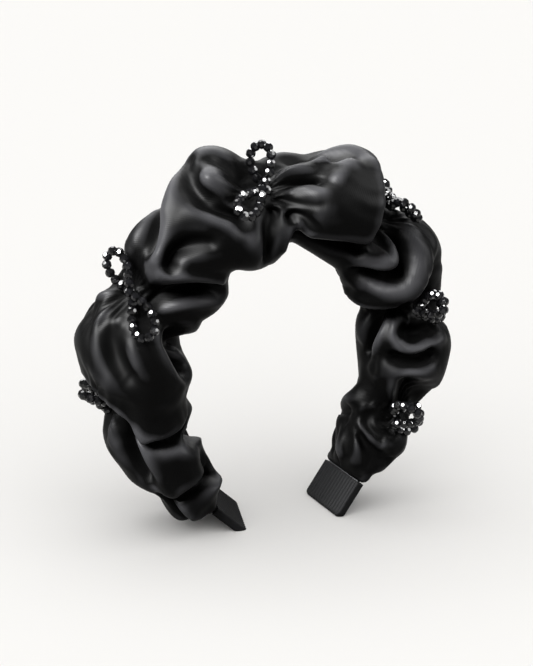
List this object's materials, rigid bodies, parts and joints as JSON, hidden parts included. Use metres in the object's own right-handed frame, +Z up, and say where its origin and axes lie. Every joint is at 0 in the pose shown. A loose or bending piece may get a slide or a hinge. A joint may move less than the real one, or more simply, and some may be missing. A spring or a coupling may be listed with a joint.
{
  "type": "ruched headband",
  "caption": "Black satin headband gathered into deep puffs over a springy band, with beaded bows sewn on where it is pinched and ribbed ribbon sleeves on its tips",
  "frame": {"origin": "middle of the bounding box in X and Y, on the surface that the two tips stand on", "axes": "+Z up through the crown, the headband's height; +Y to the back, the depth of the satin from front to back; +X from the left tip to the right one"},
  "size_m": [0.175, 0.062, 0.1823],
  "materials": {
    "satin": "black duchesse satin with a soft sheen",
    "ribbon": "matte black ribbed ribbon",
    "band": "plain black plastic",
    "bead": "opaque black faceted glass with a mirror-like polish"
  },
  "bodies": {
    "root": {"band": "band", "satin_cover": "satin", "end_sleeve_left": "ribbon", "end_sleeve_right": "ribbon", "bow_1": "bead", "bow_2": "bead", "bow_3": "bead", "bow_4": "bead", "bow_5": "bead", "bow_6": "bead"}
  },
  "joints": []
}
